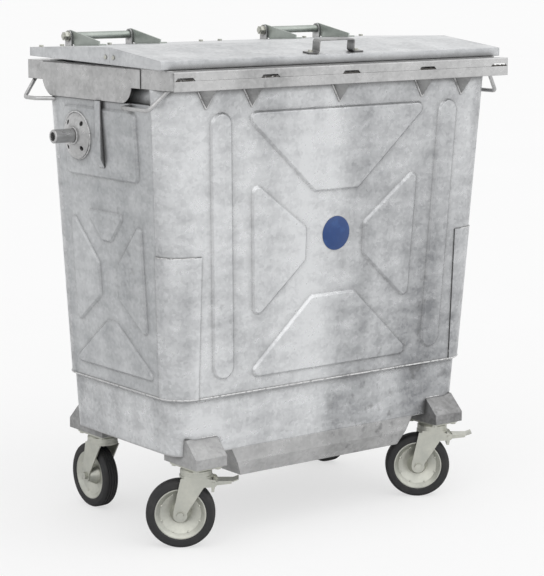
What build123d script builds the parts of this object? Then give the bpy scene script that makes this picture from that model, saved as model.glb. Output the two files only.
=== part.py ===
from build123d import *
import math
import os

# Galvanised sheet-steel waste container on four castors, with a hinged lid.
# Millimetres, +Z up, X across the front, Y towards the rear.
# The origin is on the floor, under the middle of the overall box.

# Sheet thicknesses
wall_sheet = 2.0
rim_sheet = 2.5
lid_sheet = 2.0
guard_sheet = 3.0

# Gaps between pieces: moving faces, running fits and bolt holes
face_gap = 0.3
running_fit = 0.08
bolt_hole_gap = 0.05

# Body: half width, front and rear at the ledge, and how far each wall leans out per mm of height
ledge_z = 442.0
body_top_z = 1317.0
ledge_half_width = 552.0
ledge_front = 294.0
ledge_rear = 306.0
side_slope = 0.060
front_slope = 0.050
rear_slope = 0.012
corner_radius = 78.0
ledge_step = 10.0
ledge_drop = 10.0

# Tub and belly under the ledge
tub_bottom_z = 276.0
belly_crease_z = 232.0
belly_bottom_z = 188.0
belly_half_length = 345.0
belly_end_run = 45.0
belly_bevel = 14.0

# Pressed panels
press_height = 6.0
press_slope_run = 7.0
press_radius = 36.0
slot_radius = 38.0
slot_top_z = 1216.0
slot_bottom_z = 527.0
slot_top_x = 420.0
slot_bottom_x = 390.0
front_panel_top_z = 1252.0
front_panel_bottom_z = 480.0
front_panel_half = 311.0
front_panel_lean = 0.045
front_gap_half = 82.0
front_inner_half = 104.0
front_inner_top_z = 906.0
front_inner_bottom_z = 808.0
front_top_piece_z = 1005.0
front_bottom_piece_z = 704.0
front_side_top_z = 1064.0
front_side_bottom_z = 640.0
side_press_radius = 22.0
side_panel_top_z = 957.0
side_panel_bottom_z = 484.0
side_panel_half = 184.0
side_gap_half = 24.0
side_inner_half = 45.0
side_inner_top_z = 803.0
side_inner_bottom_z = 703.0
side_top_piece_z = 866.0
side_bottom_piece_z = 636.0
side_side_top_z = 952.0
side_side_bottom_z = 600.0
plate_panel_bottom_z = 1050.0
plate_panel_top_z = 1254.0
plate_panel_half = 188.0

# Rim frame, skirts and hand recesses
rim_height = 55.0
rim_side_width = 30.0
rim_front_reach = 20.0
rim_front_inner = 20.0
rim_rear_reach = 73.25
rim_front_radius = 32.0
rim_rear_radius = 6.0
rim_top_z = body_top_z + rim_height
skirt_bottom_z = 1273.0
skirt_front_y = -214.0
skirt_rear_y = 300.0
skirt_cut = 44.0
recess_depth = 26.0
recess_end = 4.0

# Comb receiver on the front of the rim
rail_half_length = 613.0
rail_reach = 32.0
rail_split_z = 1345.0
rail_top_z = 1370.0
rail_sheet = 2.5
lower_rail_thickness = 4.0
notch_places = [-577.0, -290.0, 0.0, 290.0, 577.0]
notch_width = 68.0
notch_height = 9.0
gusset_places = [-472.0, -315.0, 0.0, 315.0, 472.0]
gusset_half_width = 30.0
gusset_drop = 55.0
gusset_fin_half = 12.0

# Corner guards
guard_top_z = 850.0

# Carry handles of round bar
bar_radius = 6.0
handle_stand_off = 38.0
handle_drop = 53.0
handle_bend = 16.0
front_handle_start = -332.0
front_handle_corner = -306.0
front_handle_turn = -176.0
front_handle_end = -148.0
rear_handle_start = 364.0
rear_handle_corner = 344.0
rear_handle_turn = 284.0
rear_handle_end = 236.0

# Lifting trunnions
trunnion_radius = 20.0
trunnion_bore = 13.0
trunnion_collar = 2.0
trunnion_chamfer = 2.0
trunnion_tip_x = 685.0
trunnion_y = 120.0
trunnion_z = 1166.0
flange_radius = 68.0
flange_edge = 4.0
flange_dome = 15.0
flange_hole_radius = 7.0
flange_hole_circle = 50.0
flange_holes = 4
stiffener_width = 28.0
stiffener_y = -2.0
stiffener_bottom_z = 1082.0
stiffener_face_x = 612.0
stiffener_sheet = 3.0

# Lid
lid_half_width = 624.0
lid_front_y = -340.0
lid_rear_y = 340.0
lid_ridge_y = -90.0
lid_ridge_z = 1426.0
lid_edge = 25.0
lid_front_gap = 1.0
lid_rear_gap = 13.0
ridge_channel_width = 70.0
splice_length = 64.0
splice_height = 30.0
splice_thickness = 2.5
rivet_radius = 3.0
rivet_head_radius = 5.5
rivet_head = 2.5
rivet_spacing = 40.0
strap_half_length = 64.0
strap_foot = 36.0
strap_rise = 38.0
strap_width = 30.0
strap_thickness = 4.0
strap_y = -305.0
strap_bend = 7.0

# Lid hinge units on the rear rim
hinge_y = 365.0
hinge_z = 1437.0
hinge_unit_x = 366.0
hinge_unit_length = 222.0
hinge_bolt_radius = 8.0
lug_width = 34.0
lug_thickness = 6.0
arm_thickness = 5.0
arm_reach = 160.0
arm_end_radius = 18.0
arm_tip_height = 12.0
arm_foot_width = 26.0
arm_foot_thickness = 4.0
hinge_tube_radius = 11.5
nut_radius = 14.0
nut_length = 12.0
washer_radius = 15.0
washer_thickness = 3.0
lid_open_deg = 235.0

# Lid bolts: pairs and singles near the rear edge
lid_bolt_y = 300.0
lid_bolt_places = [-609.0, -538.0, -372.0, -36.0, 36.0, 372.0, 538.0, 609.0]
lid_bolt_head_radius = 7.5
lid_bolt_head = 5.0
lid_bolt_radius = 4.0
lid_bolt_nut = 6.0

# Castors
wheel_radius = 100.0
tyre_width = 48.0
tyre_inner_radius = 74.0
tyre_shoulder = 9.0
castor_trail = 45.0
castor_x = 452.0
front_castor_y = -249.0
rear_castor_y = 244.75
front_castor_turn = 143.1301
rear_castor_turn = 90.0
plate_top_z = 246.0
castor_plate = 6.0
castor_plate_length = 136.0
castor_plate_width = 100.0
race_gap_z = 223.0
race_radius = 46.0
king_pin_radius = 9.0
king_pin_bottom_z = 202.0
crown_bottom_z = 208.0
crown_thickness = 6.0
crown_radius = 48.0
fork_inner_half = 31.0
fork_leg = 4.0
fork_foot_radius = 20.0
axle_radius = 6.0
axle_nut_radius = 11.0
axle_nut = 8.0
hub_radius = 19.0
hub_half_length = 30.0
rim_plate = 3.0
rim_dish = 12.0
castor_bolt_radius = 5.0
castor_bolt_head_radius = 9.0
castor_bolt_head = 6.0
castor_bolt_x = 54.0
castor_bolt_y = 38.0

# Brake pedal of the front castors
pedal_pin_x = -50.0
pedal_pin_z = 194.0
pedal_pin_radius = 5.0
pedal_reach = 72.0
pedal_half_width = 24.0
pedal_sheet = 3.0
pedal_tip_rise = 6.0
pedal_shoe_drop = 28.0
ear_radius = 11.0

# Castor brackets
bracket_base = 6.0
bracket_half_width = 54.0
bracket_reach = 51.0
bracket_face = 24.0
bracket_hood_rise = 49.0
bracket_inner_reach = 82.0
bracket_sheet = 3.0


def half_width(z):
    return ledge_half_width + side_slope * (z - ledge_z)


def front_y(z):
    return -(ledge_front + front_slope * (z - ledge_z))


def rear_y(z):
    return ledge_rear + rear_slope * (z - ledge_z)


def section(z, grow):
    """Rounded outline of the body at height z, grown outward."""
    front = front_y(z) - grow
    rear = rear_y(z) + grow
    outline = RectangleRounded(2 * (half_width(z) + grow), rear - front, corner_radius + grow)
    return Pos(0, (front + rear) / 2, z) * outline


def tapered(z_low, z_high, grow_low, grow_high=None):
    """Tapered block between two heights."""
    top_grow = grow_low if grow_high is None else grow_high
    return loft([section(z_low, grow_low), section(z_high, top_grow)], ruled=True)


def block(x_low, x_high, y_low, y_high, z_low, z_high):
    size = Box(x_high - x_low, y_high - y_low, z_high - z_low)
    return Pos((x_low + x_high) / 2, (y_low + y_high) / 2, (z_low + z_high) / 2) * size


def plate_yz(points, x_low, x_high):
    """Plate with an outline in Y and Z, between two X faces."""
    outline = Plane.YZ * Polygon(*points, align=None)
    return Pos(x_low, 0, 0) * extrude(outline, amount=x_high - x_low, dir=(1, 0, 0))


def plate_xz(outline, y_low, y_high):
    """Plate with an outline in X and Z, between two Y faces."""
    return Pos(0, y_low, 0) * extrude(Plane.XZ * outline, amount=y_high - y_low, dir=(0, 1, 0))


def tube_x(radius, x_low, x_high, y, z):
    round_bar = Rot(0, 90, 0) * Cylinder(radius, x_high - x_low)
    return Pos((x_low + x_high) / 2, y, z) * round_bar


def hexagon_x(radius, x_low, x_high, y, z):
    outline = Plane.YZ * Pos(y, z) * RegularPolygon(radius, 6)
    return Pos(x_low, 0, 0) * extrude(outline, amount=x_high - x_low, dir=(1, 0, 0))


def upright(radius, z_low, z_high, x=0.0, y=0.0):
    return Pos(x, y, (z_low + z_high) / 2) * Cylinder(radius, z_high - z_low)


def hexagon_z(radius, z_low, z_high, x, y):
    return Pos(x, y, z_low) * extrude(RegularPolygon(radius, 6), amount=z_high - z_low)


# Zones of the body wall: the seams follow the lean of the front and rear walls
far = 900.0
zone_margin = 40.0


def seam_zone(front_edge, rear_edge):
    z_low = ledge_z - zone_margin
    z_high = body_top_z + zone_margin
    points = [
        (front_edge(z_low), z_low),
        (rear_edge(z_low), z_low),
        (rear_edge(z_high), z_high),
        (front_edge(z_high), z_high),
    ]
    return plate_yz(points, -far, far)


def front_seam(z):
    return front_y(z) + corner_radius


def rear_seam(z):
    return rear_y(z) - corner_radius


# Pressed panels are drawn on the wall's own plane, in its own x and its height z
def front_plane():
    return Plane(
        origin=(0, front_y(ledge_z), ledge_z),
        x_dir=(1, 0, 0),
        z_dir=(0, -1, -front_slope),
    )


def rear_plane():
    return Plane(
        origin=(0, rear_y(ledge_z), ledge_z),
        x_dir=(-1, 0, 0),
        z_dir=(0, 1, -rear_slope),
    )


def side_plane(hand):
    middle = (front_seam(ledge_z) + rear_seam(ledge_z)) / 2
    return Plane(
        origin=(hand * half_width(ledge_z), middle, ledge_z),
        x_dir=(0, hand, 0),
        z_dir=(hand, 0, -side_slope),
    )


def press(plane, slope, outline):
    """Solid of one raised field and the hollow behind it, with sloping edges."""
    lean = math.cos(math.atan(slope))
    rise = press_height * lean
    back = wall_sheet * lean
    run = press_slope_run / rise
    top = Pos(0, 0, rise) * offset(outline, amount=-press_slope_run)
    start = Pos(0, 0, -back / 2) * offset(outline, amount=run * back / 2)
    bump = loft([start, top], ruled=True)
    deep_start = Pos(0, 0, -back / 2) * offset(outline, amount=run * back / 2)
    hollow = Pos(0, 0, -back) * loft([deep_start, top], ruled=True)
    return plane * bump, plane * hollow


def field(points, radius):
    """Rounded outline; points are given as x and height above the floor."""
    outline = Polygon(*[(x, z - ledge_z) for x, z in points], align=None)
    return fillet(outline.vertices(), radius)


def capsule(x_top, z_top, x_bottom, z_bottom, radius):
    length = math.hypot(x_top - x_bottom, z_top - z_bottom)
    angle = math.degrees(math.atan2(z_top - z_bottom, x_top - x_bottom))
    middle = Pos((x_top + x_bottom) / 2, (z_top + z_bottom) / 2 - ledge_z)
    return middle * Rot(0, 0, angle) * SlotCenterToCenter(length, 2 * radius)


def front_fields():
    """Four fields round an X, with a long slot at each side."""
    lean = front_panel_lean
    top_half = front_panel_half + lean * (front_panel_top_z - front_side_top_z)
    bottom_half = front_panel_half - lean * (front_side_top_z - front_panel_bottom_z)
    low_half = front_panel_half - lean * (front_side_top_z - front_side_bottom_z)
    widen = front_side_top_z - front_inner_top_z
    run = (front_panel_half - front_inner_half) / widen
    top_outer = front_gap_half + run * (front_panel_top_z - front_top_piece_z)
    low_run = (low_half - front_inner_half) / (front_inner_bottom_z - front_side_bottom_z)
    bottom_outer = front_gap_half + low_run * (front_bottom_piece_z - front_panel_bottom_z)
    fields = []
    top_points = [
        (-front_gap_half, front_top_piece_z),
        (front_gap_half, front_top_piece_z),
        (min(top_outer, top_half + press_radius), front_panel_top_z),
        (-min(top_outer, top_half + press_radius), front_panel_top_z),
    ]
    bottom_points = [
        (-min(bottom_outer, bottom_half + press_radius), front_panel_bottom_z),
        (min(bottom_outer, bottom_half + press_radius), front_panel_bottom_z),
        (front_gap_half, front_bottom_piece_z),
        (-front_gap_half, front_bottom_piece_z),
    ]
    fields.append(field(top_points, press_radius * 0.6))
    fields.append(field(bottom_points, press_radius * 0.6))
    for hand in (-1, 1):
        side_points = [
            (hand * front_inner_half, front_inner_bottom_z),
            (hand * low_half, front_side_bottom_z),
            (hand * front_panel_half, front_side_top_z),
            (hand * front_inner_half, front_inner_top_z),
        ]
        if hand < 0:
            side_points.reverse()
        fields.append(field(side_points, press_radius * 0.6))
        fields.append(
            capsule(hand * slot_top_x, slot_top_z, hand * slot_bottom_x, slot_bottom_z, slot_radius)
        )
    return fields


def side_fields():
    """Plate field for the trunnion, and four smaller fields round an X below it."""
    plate = field(
        [
            (-plate_panel_half, plate_panel_bottom_z),
            (plate_panel_half, plate_panel_bottom_z),
            (plate_panel_half, plate_panel_top_z),
            (-plate_panel_half, plate_panel_top_z),
        ],
        side_press_radius,
    )
    run = (side_panel_half - side_inner_half) / (side_side_top_z - side_inner_top_z)
    top_outer = side_gap_half + run * (side_panel_top_z - side_top_piece_z)
    low_run = (side_panel_half - side_inner_half) / (side_inner_bottom_z - side_side_bottom_z)
    bottom_outer = side_gap_half + low_run * (side_bottom_piece_z - side_panel_bottom_z)
    top = field(
        [
            (-side_gap_half, side_top_piece_z),
            (side_gap_half, side_top_piece_z),
            (top_outer, side_panel_top_z),
            (-top_outer, side_panel_top_z),
        ],
        side_press_radius * 0.7,
    )
    bottom = field(
        [
            (-bottom_outer, side_panel_bottom_z),
            (bottom_outer, side_panel_bottom_z),
            (side_gap_half, side_bottom_piece_z),
            (-side_gap_half, side_bottom_piece_z),
        ],
        side_press_radius * 0.7,
    )
    fields = [plate, top, bottom]
    for hand in (-1, 1):
        points = [
            (hand * side_inner_half, side_inner_bottom_z),
            (hand * side_panel_half, side_side_bottom_z),
            (hand * side_panel_half, side_side_top_z),
            (hand * side_inner_half, side_inner_top_z),
        ]
        if hand < 0:
            points.reverse()
        fields.append(field(points, side_press_radius * 0.7))
    return fields


def press_all(wall, plane, slope, fields):
    pairs = [press(plane, slope, outline) for outline in fields]
    for bump, hollow in pairs:
        wall = wall + bump
    for bump, hollow in pairs:
        wall = wall - hollow
    return wall


def recess_block(hand, grow):
    """Hand recess of one side, under the rim; grow gives the room of its sheet."""
    inner = half_width(body_top_z) - recess_depth - grow
    low = min(hand * inner, hand * far)
    high = max(hand * inner, hand * far)
    front = front_seam(body_top_z) + recess_end - grow
    rear = rear_seam(skirt_bottom_z) - recess_end + grow
    return block(low, high, front, rear, skirt_bottom_z - grow, far * 2)


def body_shell():
    outer = tapered(ledge_z, body_top_z, 0)
    inner = tapered(ledge_z - 1, body_top_z + 1, -wall_sheet)
    for hand in (-1, 1):
        outer = outer - recess_block(hand, 0)
        inner = inner - recess_block(hand, wall_sheet)
    return outer - inner


def walls():
    shell = body_shell()
    front = shell & seam_zone(lambda z: -far, front_seam)
    rear = shell & seam_zone(rear_seam, lambda z: far)
    middle = shell & seam_zone(front_seam, rear_seam)
    left = middle & block(-far, 0, -far, far, 0, 2 * far)
    right = middle & block(0, far, -far, far, 0, 2 * far)
    front = press_all(front, front_plane(), front_slope, front_fields())
    rear = press_all(rear, rear_plane(), rear_slope, front_fields())
    left = press_all(left, side_plane(-1), side_slope, side_fields())
    right = press_all(right, side_plane(1), side_slope, side_fields())
    return front, rear, left, right


def tub():
    """Wall of the tub, with the flare that meets the ledge."""
    step_z = ledge_z - ledge_drop
    outer = tapered(tub_bottom_z, step_z, -ledge_step)
    outer = outer + tapered(step_z, ledge_z, -ledge_step, 0)
    inner = tapered(tub_bottom_z - 1, step_z, -ledge_step - wall_sheet)
    inner = inner + tapered(step_z, ledge_z, -ledge_step - wall_sheet, -wall_sheet)
    return outer - inner


def belly_section(z, half_length, inset, shrink):
    front = front_y(z) + ledge_step + inset + shrink
    rear = rear_y(z) - ledge_step - inset - shrink
    outline = Rectangle(2 * (half_length - shrink), rear - front)
    return Pos(0, (front + rear) / 2, z) * outline


def belly_block(shrink, z_top):
    """Deeper middle of the floor: straight to the crease, then bevelled at front and rear."""
    run = belly_end_run / (tub_bottom_z - belly_bottom_z)
    top_half = belly_half_length + belly_end_run * (z_top - tub_bottom_z) / (tub_bottom_z - belly_bottom_z)
    crease_half = belly_half_length - run * (tub_bottom_z - belly_crease_z)
    bottom_half = belly_half_length - belly_end_run
    top = belly_section(z_top, top_half, 0, shrink)
    crease = belly_section(belly_crease_z, crease_half, 0, shrink)
    bottom = belly_section(belly_bottom_z + shrink, bottom_half, belly_bevel, shrink)
    return loft([top, crease], ruled=True) + loft([crease, bottom], ruled=True)


def floor_pan():
    """Floor of the tub with the belly between the castors."""
    low = tub_bottom_z - wall_sheet
    floor = tapered(low, tub_bottom_z, -ledge_step)
    floor = floor + belly_block(0, low)
    return floor - belly_block(wall_sheet, tub_bottom_z + 1)


def rim_outline(shrink):
    """Outer outline of the rim frame, with rounder front corners."""
    half = half_width(body_top_z) - shrink
    front = front_y(body_top_z) - rim_front_reach + shrink
    rear = rear_y(body_top_z) + rim_rear_reach - shrink
    outline = Pos(0, (front + rear) / 2) * Rectangle(2 * half, rear - front)
    corners = outline.vertices().sort_by(Axis.Y)
    outline = fillet(corners[:2], rim_front_radius - shrink)
    corners = outline.vertices().sort_by(Axis.Y)
    return fillet(corners[-2:], rim_rear_radius - shrink)


def rim_mouth():
    half = half_width(body_top_z) - rim_side_width
    front = front_y(body_top_z) + rim_front_inner
    rear = rear_y(body_top_z) - wall_sheet
    return Pos(0, (front + rear) / 2) * Rectangle(2 * half, rear - front)


def rim_frame():
    """Channel round the mouth, open towards the inside."""
    ring = extrude(Pos(0, 0, body_top_z) * rim_outline(0), amount=rim_height)
    hollow_height = rim_height - 2 * rim_sheet
    hollow = extrude(Pos(0, 0, body_top_z + rim_sheet) * rim_outline(rim_sheet), amount=hollow_height)
    mouth = extrude(Pos(0, 0, body_top_z - 1) * rim_mouth(), amount=rim_height + 2)
    return ring - hollow - mouth


def skirt(hand):
    """Plate on the side of the rim, cut away in a curve at each end for the hands."""
    outer = half_width(body_top_z) + rim_sheet
    top = rim_top_z - rim_sheet
    front_low = skirt_front_y + 2 * skirt_cut
    rear_low = skirt_rear_y - skirt_cut
    with BuildSketch(Plane.YZ) as outline:
        with BuildLine():
            Line((front_low, skirt_bottom_z), (rear_low, skirt_bottom_z))
            RadiusArc((rear_low, skirt_bottom_z), (skirt_rear_y, body_top_z), -1.6 * skirt_cut)
            Line((skirt_rear_y, body_top_z), (skirt_rear_y, top))
            Line((skirt_rear_y, top), (skirt_front_y, top))
            Line((skirt_front_y, top), (skirt_front_y, body_top_z))
            Line((skirt_front_y, body_top_z), (skirt_front_y + skirt_cut, body_top_z))
            RadiusArc((skirt_front_y + skirt_cut, body_top_z), (front_low, skirt_bottom_z), -1.2 * skirt_cut)
        make_face()
    x_low = outer - rim_sheet if hand > 0 else -outer
    return Pos(x_low, 0, 0) * extrude(outline.sketch, amount=rim_sheet, dir=(1, 0, 0))


def rail_front():
    return front_y(body_top_z) - rim_front_reach - rail_reach


def comb_rail_upper():
    """Upper rail: a folded sheet with a welded notch at five places."""
    back = front_y(body_top_z) - rim_front_reach
    front = rail_front()
    web = block(-rail_half_length, rail_half_length, front, front + rail_sheet, rail_split_z, rail_top_z)
    top = block(-rail_half_length, rail_half_length, front, back, rail_top_z - rail_sheet, rail_top_z)
    rail = web + top
    front_edges = rail.edges().filter_by(Axis.X).group_by(Axis.Y)[0]
    rail = fillet(front_edges.sort_by(Axis.Z)[-1], rail_sheet * 0.9)
    for x in notch_places:
        outline = Polygon(
            (x - notch_width / 2, rail_split_z - 1),
            (x + notch_width / 2, rail_split_z - 1),
            (x + notch_width / 2 - notch_height, rail_split_z + notch_height),
            (x - notch_width / 2 + notch_height, rail_split_z + notch_height),
            align=None,
        )
        rail = rail - plate_xz(outline, front - 1, front + rail_sheet + 1)
    return rail


def comb_rail_lower():
    front = rail_front()
    bar = block(
        -rail_half_length, rail_half_length,
        front, front + lower_rail_thickness,
        body_top_z, rail_split_z,
    )
    edges = bar.edges().filter_by(Axis.X).group_by(Axis.Y)[0]
    return fillet(edges, lower_rail_thickness * 0.3)


def comb_gusset(x):
    """Folded rib behind the lower rail: a fin above, a point down the wall."""
    wall = front_y(body_top_z)
    tip = rail_front() + lower_rail_thickness
    rim_face = wall - rim_front_reach
    low_z = body_top_z - gusset_drop
    top = Pos(0, 0, body_top_z) * Polygon(
        (x - gusset_half_width, wall), (x, tip), (x + gusset_half_width, wall), align=None
    )
    point = loft([top, Vertex(x, front_y(low_z), low_z)], ruled=True)
    fin = Pos(0, 0, body_top_z) * Polygon(
        (x - gusset_fin_half, rim_face), (x, tip), (x + gusset_fin_half, rim_face), align=None
    )
    return point + extrude(fin, amount=rail_split_z - body_top_z)


def corner_guards():
    """Second sheet round each front corner, from the ledge up."""
    band = tapered(ledge_z, guard_top_z, guard_sheet) - tapered(ledge_z - 1, guard_top_z + 1, 0)
    guards = []
    for hand in (-1, 1):
        edge = half_width(ledge_z) - corner_radius
        x_low = min(hand * edge, hand * far)
        x_high = max(hand * edge, hand * far)
        zone = block(x_low, x_high, -far, far, 0, 2 * far) & seam_zone(lambda z: -far, front_seam)
        guards.append(band & zone)
    return guards


def handle_path(hand, start, corner, turn, end):
    rim = half_width(body_top_z)
    out = rim + handle_stand_off
    low = body_top_z - handle_drop
    inside = half_width(low) - 2 * bar_radius
    points = [
        (hand * (rim - 2 * bar_radius), start, body_top_z + 1),
        (hand * out, corner, low),
        (hand * out, turn, low),
        (hand * inside, end, low),
    ]
    return FilletPolyline(*points, radius=handle_bend)


def carry_handle(hand, start, corner, turn, end):
    """Round bar from the rim's underside to the side wall."""
    path = handle_path(hand, start, corner, turn, end)
    first = path.position_at(0)
    profile = Plane(origin=first, z_dir=path.tangent_at(0)) * Circle(bar_radius)
    bar = sweep(profile, path=path)
    bar = bar - tapered(ledge_z, body_top_z, 0)
    return bar - extrude(Pos(0, 0, body_top_z) * rim_outline(0), amount=rim_height)


def trunnion_seat():
    """Space of the side wall with its raised plate, to cut what stands on it."""
    return tapered(plate_panel_bottom_z, skirt_bottom_z, press_height)


def trunnion(hand):
    """Hollow pin with a collar in the flange and a chamfered tip."""
    root_x = half_width(plate_panel_bottom_z) - press_height
    collar_x = half_width(trunnion_z) + press_height + flange_dome + trunnion_collar
    collar_radius = trunnion_radius + trunnion_collar
    profile = Polygon(
        (root_x, trunnion_bore), (trunnion_tip_x, trunnion_bore),
        (trunnion_tip_x, trunnion_radius - trunnion_chamfer),
        (trunnion_tip_x - trunnion_chamfer, trunnion_radius),
        (collar_x, trunnion_radius), (collar_x, collar_radius), (root_x, collar_radius),
        align=None,
    )
    pin = revolve(profile, axis=Axis.X)
    if hand < 0:
        pin = mirror(pin, about=Plane.YZ)
    return Pos(0, trunnion_y, trunnion_z) * pin - trunnion_seat()


def trunnion_flange(hand):
    """Domed round plate about the pin, with holes on a circle."""
    wall_x = half_width(trunnion_z) + press_height
    root_x = wall_x - 2 * flange_edge
    hole_radius = trunnion_radius + trunnion_collar + bolt_hole_gap
    profile = Polygon(
        (root_x, hole_radius),
        (root_x, flange_radius),
        (wall_x + flange_edge, flange_radius),
        (wall_x + flange_dome, trunnion_radius + flange_dome),
        (wall_x + flange_dome, hole_radius),
        align=None,
    )
    disc = revolve(profile, axis=Axis.X)
    if hand < 0:
        disc = mirror(disc, about=Plane.YZ)
    disc = Pos(0, trunnion_y, trunnion_z) * disc
    for step in range(flange_holes):
        angle = math.radians(45 + 360 * step / flange_holes)
        y = trunnion_y + flange_hole_circle * math.cos(angle)
        z = trunnion_z + flange_hole_circle * math.sin(angle)
        disc = disc - tube_x(flange_hole_radius, -far, far, y, z)
    return disc - trunnion_seat()


def side_stiffener(hand):
    """Folded channel beside the trunnion, closed to the wall at its lower end."""
    low_x = half_width(stiffener_bottom_z)
    half = stiffener_width / 2
    y_low = stiffener_y - half
    y_high = stiffener_y + half
    top_z = skirt_bottom_z - 1
    profile = Polygon(
        (low_x - press_height, stiffener_bottom_z),
        (low_x + press_height + 2, stiffener_bottom_z),
        (stiffener_face_x, stiffener_bottom_z + stiffener_width),
        (stiffener_face_x, top_z),
        (low_x - press_height, top_z),
        align=None,
    )
    channel = plate_xz(profile, y_low, y_high)
    hollow = block(
        0, stiffener_face_x - stiffener_sheet,
        y_low + stiffener_sheet, y_high - stiffener_sheet,
        stiffener_bottom_z + stiffener_width, top_z + 1,
    )
    channel = channel - hollow
    if hand < 0:
        channel = mirror(channel, about=Plane.YZ)
    return channel - trunnion_seat()


def lid_profile(inset):
    """Side outline of the lid; inset gives the inner face, open below."""
    front = lid_front_y + inset
    rear = lid_rear_y - inset
    front_low = rim_top_z + lid_front_gap
    rear_low = rim_top_z + lid_rear_gap
    drop = 2 * inset
    return [
        (front, front_low - drop),
        (rear, rear_low - drop),
        (rear, rear_low + lid_edge - inset),
        (lid_ridge_y, lid_ridge_z - inset),
        (front, front_low + lid_edge - inset),
    ]


def lid_panels():
    shell = plate_yz(lid_profile(0), -lid_half_width, lid_half_width)
    inner_half = lid_half_width - lid_sheet
    shell = shell - plate_yz(lid_profile(lid_sheet), -inner_half, inner_half)
    front = shell & block(-far, far, -far, lid_ridge_y, 0, 2 * far)
    rear = shell & block(-far, far, lid_ridge_y, far, 0, 2 * far)
    return front, rear


def lid_top_z(y, inset=0.0):
    """Height of the lid's outer face at depth y, or of its inner face for an inset."""
    if y < lid_ridge_y:
        edge_y = lid_front_y + inset
        edge_z = rim_top_z + lid_front_gap + lid_edge - inset
    else:
        edge_y = lid_rear_y - inset
        edge_z = rim_top_z + lid_rear_gap + lid_edge - inset
    return edge_z + (lid_ridge_z - inset - edge_z) * (y - edge_y) / (lid_ridge_y - edge_y)


def under_lid(y, depth):
    return lid_top_z(y, lid_sheet) - depth


def ridge_channel():
    """Folded strip under the ridge that joins the two panels."""
    half = ridge_channel_width / 2
    front = lid_ridge_y - half
    rear = lid_ridge_y + half
    points = [
        (front, under_lid(front, 0)),
        (lid_ridge_y, lid_ridge_z - lid_sheet),
        (rear, under_lid(rear, 0)),
        (rear, under_lid(rear, rim_sheet)),
        (lid_ridge_y, lid_ridge_z - lid_sheet - rim_sheet),
        (front, under_lid(front, rim_sheet)),
    ]
    inner = lid_half_width - lid_sheet - splice_thickness - 1
    return plate_yz(points, -inner, inner)


def rivet_z():
    return rim_top_z + lid_front_gap + lid_edge


def side_splices():
    """Plate inside each cheek of the lid, behind the joint."""
    splices = []
    for hand in (-1, 1):
        outer = hand * (lid_half_width - lid_sheet)
        inner = hand * (lid_half_width - lid_sheet - splice_thickness)
        plate = block(
            min(outer, inner), max(outer, inner),
            lid_ridge_y - splice_length / 2, lid_ridge_y + splice_length / 2,
            rivet_z() - splice_height / 2, rivet_z() + splice_height / 2,
        )
        for y in rivet_rows():
            plate = plate - tube_x(rivet_radius + bolt_hole_gap, -far, far, y, rivet_z())
        splices.append(plate)
    return splices


def rivet_rows():
    return (lid_ridge_y - rivet_spacing / 2, lid_ridge_y + rivet_spacing / 2)


def splice_rivets():
    """Round-headed rivets through cheek and splice."""
    rivets = []
    for hand in (-1, 1):
        for y in rivet_rows():
            inner = lid_half_width - lid_sheet - splice_thickness
            shank = tube_x(rivet_radius, inner - rivet_head, lid_half_width + rivet_head, y, rivet_z())
            head = tube_x(rivet_head_radius, lid_half_width, lid_half_width + rivet_head, y, rivet_z())
            tail = tube_x(rivet_head_radius, inner - rivet_head, inner, y, rivet_z())
            rivet = shank + head + tail
            rivets.append(rivet if hand > 0 else mirror(rivet, about=Plane.YZ))
    return rivets


def strap_handle():
    """Flat strap bent up from the front panel, with a foot at each end."""
    slope = (lid_ridge_z - lid_top_z(lid_front_y)) / (lid_ridge_y - lid_front_y)
    plane = Plane(
        origin=(0, strap_y, lid_top_z(strap_y)), x_dir=(1, 0, 0), z_dir=(0, -1, -slope)
    )
    foot_end = strap_half_length + strap_foot
    path = FilletPolyline(
        (-foot_end, strap_thickness / 2),
        (-strap_half_length, strap_thickness / 2),
        (-strap_half_length, strap_rise),
        (strap_half_length, strap_rise),
        (strap_half_length, strap_thickness / 2),
        (foot_end, strap_thickness / 2),
        radius=strap_bend,
    )
    ribbon = trace(path, line_width=strap_thickness)
    strap = extrude(plane * ribbon, amount=strap_width / 2, both=True)
    return strap


def hinge_layout(unit):
    """X places of one hinge unit, from its nut end to its head end."""
    left = unit * hinge_unit_x - hinge_unit_length / 2
    right = unit * hinge_unit_x + hinge_unit_length / 2
    arm_left = left + lug_thickness + face_gap
    tube_left = arm_left + arm_thickness
    lug_right = right - lug_thickness
    return {
        "lug_left": left,
        "arm_left": arm_left,
        "tube": (tube_left, lug_right - face_gap),
        "lug_right": lug_right,
        "arm_right": right + face_gap,
        "end": right + face_gap + arm_thickness,
    }


def hinge_lug(x_low):
    """Upright plate on the rear rim, round at the top, bored for the bolt."""
    half = lug_width / 2
    plate = block(x_low, x_low + lug_thickness, hinge_y - half, hinge_y + half, rim_top_z, hinge_z)
    plate = plate + tube_x(half, x_low, x_low + lug_thickness, hinge_y, hinge_z)
    return plate - tube_x(hinge_bolt_radius + bolt_hole_gap, x_low - 1, x_low + far, hinge_y, hinge_z)


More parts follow.
